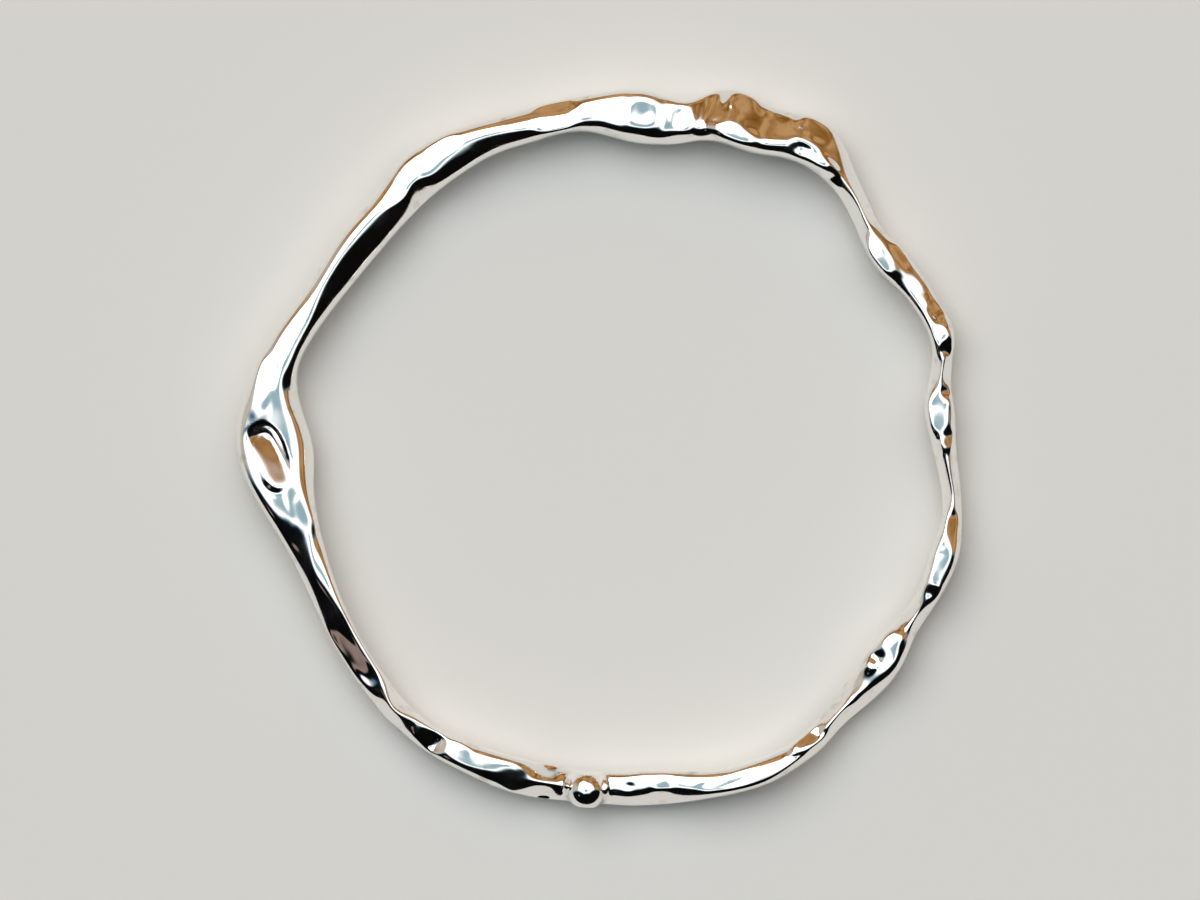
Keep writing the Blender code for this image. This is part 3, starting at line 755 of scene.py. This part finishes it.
@dataclass
class CastSkin:
    """Worn edges, ripples and pits of the cast skin, added by Geometry Nodes.

    Attributes:
        tumbling: how often tumbling evens each point out with its neighbours.
        ripple_size: length of a ripple.
        ripple_height: height of a ripple, from its lowest to its highest point.
        pit_spacing: distance between pits.
        pit_width: width of a pit.
        pit_depth: depth of a pit.
        clear_height: below this height the relief fades out towards the table.
        ripple_detail: how many finer ripples lie on the large ones.
        ripple_roughness: how strong those finer ripples are.
        seed: fixes the pattern.
    """

    tumbling: int = 2
    ripple_size: float = 0.9 * MM
    ripple_height: float = 0.030 * MM
    pit_spacing: float = 1.3 * MM
    pit_width: float = 0.16 * MM
    pit_depth: float = 0.012 * MM
    clear_height: float = 0.25 * MM
    ripple_detail: float = 1.0
    ripple_roughness: float = 0.35
    seed: int = 7

    def tree(self) -> bpy.types.NodeTree:
        """Builds the node tree, with an input for each size.

        Returns:
            The tree.
        """
        tree = bpy.data.node_groups.new("cast_skin", "GeometryNodeTree")
        face = tree.interface
        face.new_socket("Geometry", in_out="INPUT", socket_type="NodeSocketGeometry")
        for name in (
            "Ripple Size",
            "Ripple Height",
            "Pit Spacing",
            "Pit Width",
            "Pit Depth",
            "Clear Height",
        ):
            face.new_socket(name, in_out="INPUT", socket_type="NodeSocketFloat")
        for name in ("Tumbling", "Seed"):
            face.new_socket(name, in_out="INPUT", socket_type="NodeSocketInt")
        face.new_socket("Material", in_out="INPUT", socket_type="NodeSocketMaterial")
        face.new_socket("Geometry", in_out="OUTPUT", socket_type="NodeSocketGeometry")
        given = add_node(tree, "NodeGroupInput").outputs
        place = add_node(tree, "GeometryNodeInputPosition").outputs[0]
        normal = add_node(tree, "GeometryNodeInputNormal").outputs[0]

        worn = add_node(
            tree,
            "GeometryNodeBlurAttribute",
            {"data_type": "FLOAT_VECTOR"},
            links={"Value": place, "Iterations": given["Tumbling"]},
        )
        ripple_scale = add_node(
            tree, "ShaderNodeMath", {"operation": "DIVIDE"}, {0: 1.0}, {1: given["Ripple Size"]}
        )
        ripple = add_node(
            tree,
            "ShaderNodeTexNoise",
            {"noise_dimensions": "4D"},
            {"Detail": self.ripple_detail, "Roughness": self.ripple_roughness},
            {"Vector": place, "W": given["Seed"], "Scale": ripple_scale.outputs[0]},
        )
        centred = add_node(
            tree, "ShaderNodeMath", {"operation": "SUBTRACT"}, {1: 0.5}, {0: ripple.outputs[0]}
        )
        ripples = add_node(
            tree,
            "ShaderNodeMath",
            {"operation": "MULTIPLY"},
            links={0: centred.outputs[0], 1: given["Ripple Height"]},
        )

        pit_scale = add_node(
            tree, "ShaderNodeMath", {"operation": "DIVIDE"}, {0: 1.0}, {1: given["Pit Spacing"]}
        )
        cells = add_node(
            tree,
            "ShaderNodeTexVoronoi",
            {"voronoi_dimensions": "4D"},
            links={"Vector": place, "W": given["Seed"], "Scale": pit_scale.outputs[0]},
        )
        distance = add_node(
            tree,
            "ShaderNodeMath",
            {"operation": "MULTIPLY"},
            links={0: cells.outputs["Distance"], 1: given["Pit Spacing"]},
        )
        pit_radius = add_node(
            tree, "ShaderNodeMath", {"operation": "MULTIPLY"}, {1: 0.5}, {0: given["Pit Width"]}
        )
        in_pit = add_node(
            tree,
            "ShaderNodeMapRange",
            {"interpolation_type": "SMOOTHSTEP"},
            {"From Min": 0.0, "To Min": 1.0, "To Max": 0.0},
            {"Value": distance.outputs[0], "From Max": pit_radius.outputs[0]},
        )
        pits = add_node(
            tree,
            "ShaderNodeMath",
            {"operation": "MULTIPLY"},
            links={0: in_pit.outputs["Result"], 1: given["Pit Depth"]},
        )

        relief = add_node(
            tree,
            "ShaderNodeMath",
            {"operation": "SUBTRACT"},
            links={0: ripples.outputs[0], 1: pits.outputs[0]},
        )
        height = add_node(tree, "ShaderNodeSeparateXYZ", links={0: place}).outputs["Z"]
        shown = add_node(
            tree,
            "ShaderNodeMapRange",
            {"interpolation_type": "SMOOTHSTEP"},
            {"From Min": 0.0, "To Min": 0.0, "To Max": 1.0},
            {"Value": height, "From Max": given["Clear Height"]},
        )
        faded = add_node(
            tree,
            "ShaderNodeMath",
            {"operation": "MULTIPLY"},
            links={0: relief.outputs[0], 1: shown.outputs["Result"]},
        )
        offset = add_node(
            tree,
            "ShaderNodeVectorMath",
            {"operation": "SCALE"},
            links={0: normal, "Scale": faded.outputs[0]},
        )
        moved = add_node(
            tree,
            "GeometryNodeSetPosition",
            links={
                "Geometry": given["Geometry"],
                "Position": worn.outputs[0],
                "Offset": offset.outputs[0],
            },
        )
        real = add_node(
            tree, "GeometryNodeRealizeInstances", links={"Geometry": moved.outputs[0]}
        )
        dressed = add_node(
            tree,
            "GeometryNodeSetMaterial",
            links={"Geometry": real.outputs[0], "Material": given["Material"]},
        )
        add_node(tree, "NodeGroupOutput", links={"Geometry": dressed.outputs[0]})
        return tree

    def values(self, material: bpy.types.Material) -> dict[str, Any]:
        """Lists the value of each of the tree's named inputs.

        Args:
            material: the finish.

        Returns:
            The values, by the inputs' names.
        """
        return {
            "Tumbling": self.tumbling,
            "Ripple Size": self.ripple_size,
            "Ripple Height": self.ripple_height,
            "Pit Spacing": self.pit_spacing,
            "Pit Width": self.pit_width,
            "Pit Depth": self.pit_depth,
            "Clear Height": self.clear_height,
            "Seed": self.seed,
            "Material": material,
        }

    def dress(
        self, mesh: bpy.types.Mesh, name: str, material: bpy.types.Material
    ) -> bpy.types.Object:
        """Runs the tree on a mesh and keeps the result as plain mesh.

        Args:
            mesh: the smooth skin.
            name: the finished piece's name.
            material: the finish.

        Returns:
            The finished piece, with no modifier.
        """
        bare = bpy.data.objects.new(name, mesh)
        bpy.context.scene.collection.objects.link(bare)
        modifier = bare.modifiers.new("cast_skin", "NODES")
        modifier.node_group = self.tree()
        values = self.values(material)
        for item in modifier.node_group.interface.items_tree:
            if item.in_out == "INPUT" and item.name in values:
                modifier[item.identifier] = values[item.name]
        graph = bpy.context.evaluated_depsgraph_get()
        finished = bpy.data.meshes.new_from_object(bare.evaluated_get(graph))
        bare.modifiers.clear()
        bare.data = finished
        bare.data.shade_smooth()
        return bare


@dataclass
class MoltenRing:
    """The whole ring: the lofted band, its cast skin and its silver.

    Attributes:
        band: the form.
        skin: the fine relief.
        silver: the finish.
    """

    band: MoltenBand
    skin: CastSkin
    silver: CastSilver

    def build(self) -> bpy.types.Object:
        """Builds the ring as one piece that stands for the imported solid.

        Returns:
            The piece.
        """
        piece = self.skin.dress(self.band.mesh(), "molten_ring", self.silver.material())
        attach(piece, "root")
        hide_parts("ring_band")
        log.info("molten_ring: %d faces", len(piece.data.polygons))
        return piece


class Patch(NamedTuple):
    """A soft-edged round patch of the studio's surroundings.

    azimuth is in degrees from +X, anticlockwise, and zenith in degrees down from straight up.
    reach is its radius and soft the width of its edge, in degrees.
    """

    azimuth: float
    zenith: float
    reach: float
    soft: float
    colour: str
    strength: float


@dataclass(frozen=True)
class StudioSurround:
    """What the polished metal mirrors: a white ceiling, warm wood low down, dark on one side.

    The camera itself sees only the pale backdrop.

    Attributes:
        backdrop: what the camera sees past the table.
        backdrop_strength: how bright that is.
        cool_wall: colour of the plain wall.
        dark_wood: the darker grain of the wooden wall.
        light_wood: its lighter grain.
        grain: how fine that grain is, over directions of unit length.
        grain_detail: how ragged it is.
        grain_from: noise value below which the grain is all dark.
        grain_to: noise value above which it is all light.
        warm_azimuth: where the wooden wall stands, in degrees from +X.
        warm_from: cosine off that azimuth below which the wall is all plain.
        warm_to: cosine off that azimuth above which it is all wood.
        wall_strength: how bright the walls are.
        patches: the ceiling and what is smaller, each laid over the ones before it.
    """

    backdrop: str = "#E9E2D7"
    backdrop_strength: float = 0.9
    cool_wall: str = "#CFC9BD"
    dark_wood: str = "#8A5A1E"
    light_wood: str = "#CFA06C"
    grain: float = 4.0
    grain_detail: float = 4.0
    grain_from: float = 0.35
    grain_to: float = 0.65
    warm_azimuth: float = 55.0
    warm_from: float = -0.35
    warm_to: float = 0.25
    wall_strength: float = 0.8
    patches: tuple[Patch, ...] = (
        Patch(0, 0, 46, 7, "#F8FBFF", 1.35),
        Patch(90, 0, 8, 4, "#93B0BC", 1.0),
        Patch(275, 64, 48, 4, "#567A82", 1.0),
        Patch(318, 66, 42, 4, "#567A82", 1.0),
        Patch(232, 66, 44, 4, "#3F6A88", 1.0),
        Patch(275, 64, 44, 3, "#060708", 1.0),
        Patch(318, 66, 38, 3, "#0B0A0A", 1.0),
        Patch(232, 66, 40, 3, "#08090B", 1.0),
        Patch(216, 52, 4, 3, "#8C7A74", 1.0),
    )

    def build(self) -> bpy.types.World:
        """Builds the world's node tree.

        Returns:
            The world.
        """
        world = bpy.data.worlds.new("studio_surround")
        world.use_nodes = True
        tree = world.node_tree
        tree.nodes.clear()
        way = add_node(tree, "ShaderNodeTexCoord").outputs["Generated"]
        seen = self.walls(tree, way)
        for patch in self.patches:
            seen = self.with_patch(tree, way, seen, patch)
        mirrored = add_node(tree, "ShaderNodeBackground", links={"Color": seen})
        plain = add_node(
            tree,
            "ShaderNodeBackground",
            values={"Color": linear(self.backdrop), "Strength": self.backdrop_strength},
        )
        camera = add_node(tree, "ShaderNodeLightPath").outputs["Is Camera Ray"]
        chosen = add_node(
            tree,
            "ShaderNodeMixShader",
            links={0: camera, 1: mirrored.outputs[0], 2: plain.outputs[0]},
        )
        add_node(tree, "ShaderNodeOutputWorld", links={"Surface": chosen.outputs[0]})
        return world

    def walls(self, tree: bpy.types.NodeTree, way: bpy.types.NodeSocket) -> bpy.types.NodeSocket:
        """Paints the walls: wood round one side, and a plain pale wall on the other.

        Args:
            tree: the world's node tree.
            way: the ray's direction.

        Returns:
            The walls' light.
        """
        turn = math.radians(self.warm_azimuth)
        aim = (math.cos(turn), math.sin(turn), 0.0)
        warmth = add_node(
            tree, "ShaderNodeVectorMath", {"operation": "DOT_PRODUCT"}, {1: aim}, {0: way}
        )
        warm = add_node(
            tree,
            "ShaderNodeMapRange",
            {"interpolation_type": "SMOOTHSTEP"},
            {"From Min": self.warm_from, "From Max": self.warm_to},
            {"Value": warmth.outputs["Value"]},
        )
        grain = add_node(
            tree,
            "ShaderNodeTexNoise",
            values={"Scale": self.grain, "Detail": self.grain_detail},
            links={"Vector": way},
        )
        streak = add_node(
            tree,
            "ShaderNodeMapRange",
            {"interpolation_type": "SMOOTHSTEP"},
            {"From Min": self.grain_from, "From Max": self.grain_to},
            {"Value": grain.outputs["Fac"]},
        )
        wood = add_node(
            tree,
            "ShaderNodeMix",
            {"data_type": "RGBA"},
            {6: linear(self.dark_wood), 7: linear(self.light_wood)},
            {0: streak.outputs["Result"]},
        )
        both = add_node(
            tree,
            "ShaderNodeMix",
            {"data_type": "RGBA"},
            {6: linear(self.cool_wall)},
            {0: warm.outputs["Result"], 7: wood.outputs[2]},
        )
        lit = add_node(
            tree,
            "ShaderNodeVectorMath",
            {"operation": "SCALE"},
            {"Scale": self.wall_strength},
            {0: both.outputs[2]},
        )
        return lit.outputs[0]

    def with_patch(
        self,
        tree: bpy.types.NodeTree,
        way: bpy.types.NodeSocket,
        behind: bpy.types.NodeSocket,
        patch: Patch,
    ) -> bpy.types.NodeSocket:
        """Lays one patch over what is there.

        Args:
            tree: the world's node tree.
            way: the ray's direction.
            behind: the light without the patch.
            patch: the patch.

        Returns:
            The light with the patch.
        """
        turn, down = math.radians(patch.azimuth), math.radians(patch.zenith)
        aim = (math.cos(turn) * math.sin(down), math.sin(turn) * math.sin(down), math.cos(down))
        nearness = add_node(
            tree, "ShaderNodeVectorMath", {"operation": "DOT_PRODUCT"}, {1: aim}, {0: way}
        )
        share = add_node(
            tree,
            "ShaderNodeMapRange",
            {"interpolation_type": "SMOOTHSTEP"},
            {
                "From Min": math.cos(math.radians(patch.reach + patch.soft)),
                "From Max": math.cos(math.radians(patch.reach - patch.soft)),
            },
            {"Value": nearness.outputs["Value"]},
        )
        light = tuple(c * patch.strength for c in linear(patch.colour)[:3]) + (1.0,)
        over = add_node(
            tree,
            "ShaderNodeMix",
            {"data_type": "RGBA"},
            {7: light},
            {0: share.outputs["Result"], 6: behind},
        )
        return over.outputs[2]


@dataclass
class Studio:
    """A pale table, a soft light and a camera straight above.

    Attributes:
        surround: what the metal mirrors.
        paper: the table's finish.
        table_size: width of the table.
        lens: the camera's focal length in millimetres.
        sensor: the camera's sensor width in millimetres.
        near: how close to the camera the picture starts.
        frame_width: width of the table that the picture spans.
        light_energy: strength of the soft light.
        light_angle: how wide it looks, in degrees.
        light_azimuth: where it stands, in degrees from +X.
        light_zenith: how far down from straight above, in degrees.
    """

    surround: StudioSurround
    paper: TablePaper
    table_size: float = 3.0
    lens: float = 200.0
    sensor: float = 36.0
    near: float = 1.0 * MM
    frame_width: float = 34.0 * MM
    light_energy: float = 0.9
    light_angle: float = 50.0
    light_azimuth: float = 120.0
    light_zenith: float = 32.0

    def build(self) -> None:
        """Builds the world, the table, the light and the camera."""
        scene = bpy.context.scene
        scene.world = self.surround.build()
        scene.view_settings.view_transform = "Standard"
        self.table()
        self.light()
        scene.camera = self.camera()
        log.info("studio: table, soft light and camera")

    def table(self) -> bpy.types.Object:
        """Makes the table's flat top, at the height that the ring rests on.

        Returns:
            The table.
        """
        half = self.table_size / 2
        corners = [(-half, -half, 0), (half, -half, 0), (half, half, 0), (-half, half, 0)]
        flat = bpy.data.meshes.new("table")
        flat.from_pydata(corners, [], [(0, 1, 2, 3)])
        flat.materials.append(self.paper.material())
        table = bpy.data.objects.new("table", flat)
        bpy.context.scene.collection.objects.link(table)
        return table

    def light(self) -> None:
        """Hangs the soft light, which comes from one side of straight above."""
        lamp = bpy.data.lights.new("soft_light", "SUN")
        lamp.energy = self.light_energy
        lamp.angle = math.radians(self.light_angle)
        held = bpy.data.objects.new("soft_light", lamp)
        turn, down = math.radians(self.light_azimuth), math.radians(self.light_zenith)
        source = Vector(
            (math.cos(turn) * math.sin(down), math.sin(turn) * math.sin(down), math.cos(down))
        )
        held.rotation_euler = source.to_track_quat("Z", "Y").to_euler()
        bpy.context.scene.collection.objects.link(held)

    def camera(self) -> bpy.types.Object:
        """Hangs the camera straight above the middle of the ring.

        Returns:
            The camera.
        """
        eye = bpy.data.cameras.new("camera")
        eye.lens = self.lens
        eye.sensor_width = self.sensor
        eye.clip_start = self.near
        held = bpy.data.objects.new("camera", eye)
        held.location = (0, 0, self.frame_width * self.lens / self.sensor)
        bpy.context.scene.collection.objects.link(held)
        return held


def main() -> None:
    """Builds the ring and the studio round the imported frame."""
    logging.basicConfig(level=logging.INFO, format="%(name)s %(message)s")
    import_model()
    MoltenRing(MoltenBand(), CastSkin(), CastSilver()).build()
    Studio(StudioSurround(), TablePaper()).build()


if __name__ == "__main__":
    main()
